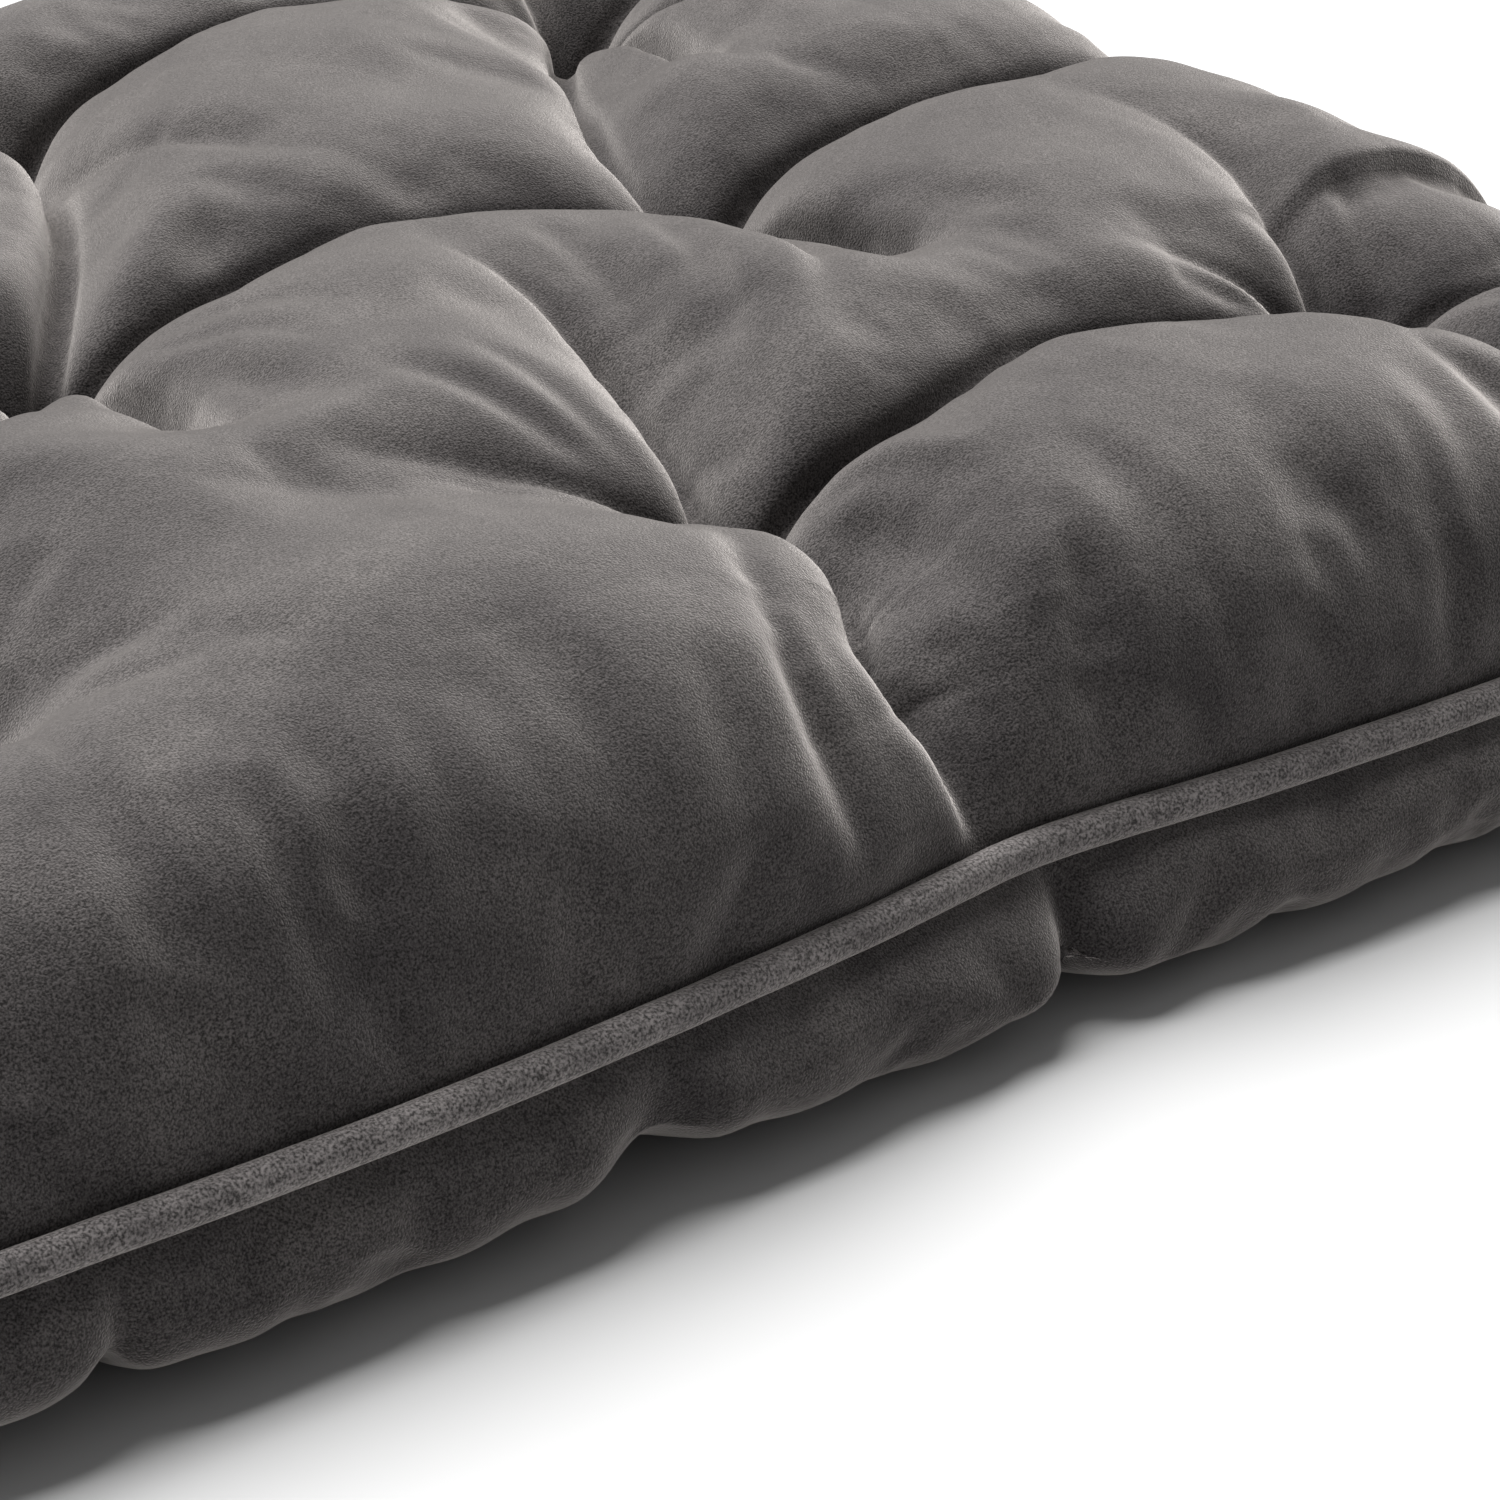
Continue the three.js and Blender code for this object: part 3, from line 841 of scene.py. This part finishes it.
def add_floor():
    mesh = bpy.data.meshes.new("floor")
    corners = [(x * FLOOR_HALF, y * FLOOR_HALF, 0) for x, y in ((-1, -1), (1, -1), (1, 1), (-1, 1))]
    mesh.from_pydata(corners, [], [(0, 1, 2, 3)])
    floor = bpy.data.objects.new("floor", mesh)
    mesh.materials.append(floor_material())
    bpy.context.collection.objects.link(floor)


def add_world():
    world = bpy.data.worlds.new("studio")
    world.use_nodes = True
    background = world.node_tree.nodes["Background"]
    background.inputs["Color"].default_value = (1, 1, 1, 1)
    background.inputs["Strength"].default_value = WORLD_STRENGTH
    bpy.context.scene.world = world


# ---- The cushion ----
def shaped_faces():
    """The top and the underside on fine grids, blown up by the cloth simulation."""
    top, bottom = top_points(FINE), bottom_points(FINE)
    top_move, bottom_move = simulate(top_points(), bottom_points())
    top, bottom = top + doubled(top_move), bottom + doubled(bottom_move)
    return top, bottom


def wrinkled_faces(top, bottom):
    """Adds what the simulation is too coarse for: wrinkles, gathers and uneven filling."""
    rng = np.random.default_rng(SEED)
    x, y = plan_grid(FINE)
    rise = crown(x, y, TOP_FULLNESS)
    top_wrinkles = tuft_wrinkles() + seam_gathers(rng, **TOP_GATHERS)
    for number in SPOKED_TUFTS:
        top_wrinkles += spokes(rng, TUFT[number])
    top_swell = TOP_SWELL * rise * lumps(rng, x, y, TOP_LUMP_SIZE)
    top = add_wrinkles(top, top_wrinkles, top_swell, top_folds(), out=1)
    bottom_swell = BOTTOM_SWELL * rise * lumps(rng, x, y, BOTTOM_LUMP_SIZE)
    bottom_wrinkles = seam_gathers(rng, **BOTTOM_GATHERS)
    bottom = add_wrinkles(bottom, bottom_wrinkles, bottom_swell, bottom_folds(), out=-1)
    bottom[..., 2] = np.clip(bottom[..., 2], LOWEST, None)
    join_rims(top, bottom)
    return top, bottom


def add_cushion():
    """The two velvet faces and the piping, each standing for its CAD solids."""
    top, bottom = wrinkled_faces(*shaped_faces())
    grid = top.shape[:2]
    velvet = velvet_material("velvet", VELVET_DARK, VELVET_LIGHT)
    piping_velvet = velvet_material("piping_velvet", PIPING_DARK, PIPING_LIGHT, PIPING_PILE)
    cover_top = mesh_object("velvet_top", top, grid_faces(*grid), velvet)
    cover_bottom = mesh_object("velvet_underside", bottom, grid_faces(*grid, up=False), velvet)
    path = resample(rim_loop(top), PIPING_RINGS)
    tube = tube_round(path, PIPING_FULLNESS * PIPING_RADIUS, PIPING_STAND_OFF)
    piping = mesh_object("piping_tube", *tube, piping_velvet)
    for piece, slot_name, nodes in (
        (cover_top, "velvet", ("cover_top", "inner_case_top", "fibre_filling")),
        (cover_bottom, "velvet", ("cover_bottom", "inner_case_bottom")),
        (piping, "piping_velvet", ("piping_sleeve", "piping_cord")),
    ):
        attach(piece, "root")
        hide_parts(*nodes)


def finish_ties():
    twine = twine_material()
    for number in range(1, TUFT_COUNT + 1):
        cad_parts[f"tuft_tie_{number}"].data.materials[0] = twine


add_camera()
add_world()
add_key_light()
add_floor()
bpy.context.scene.view_settings.view_transform = "Standard"
add_cushion()
finish_ties()
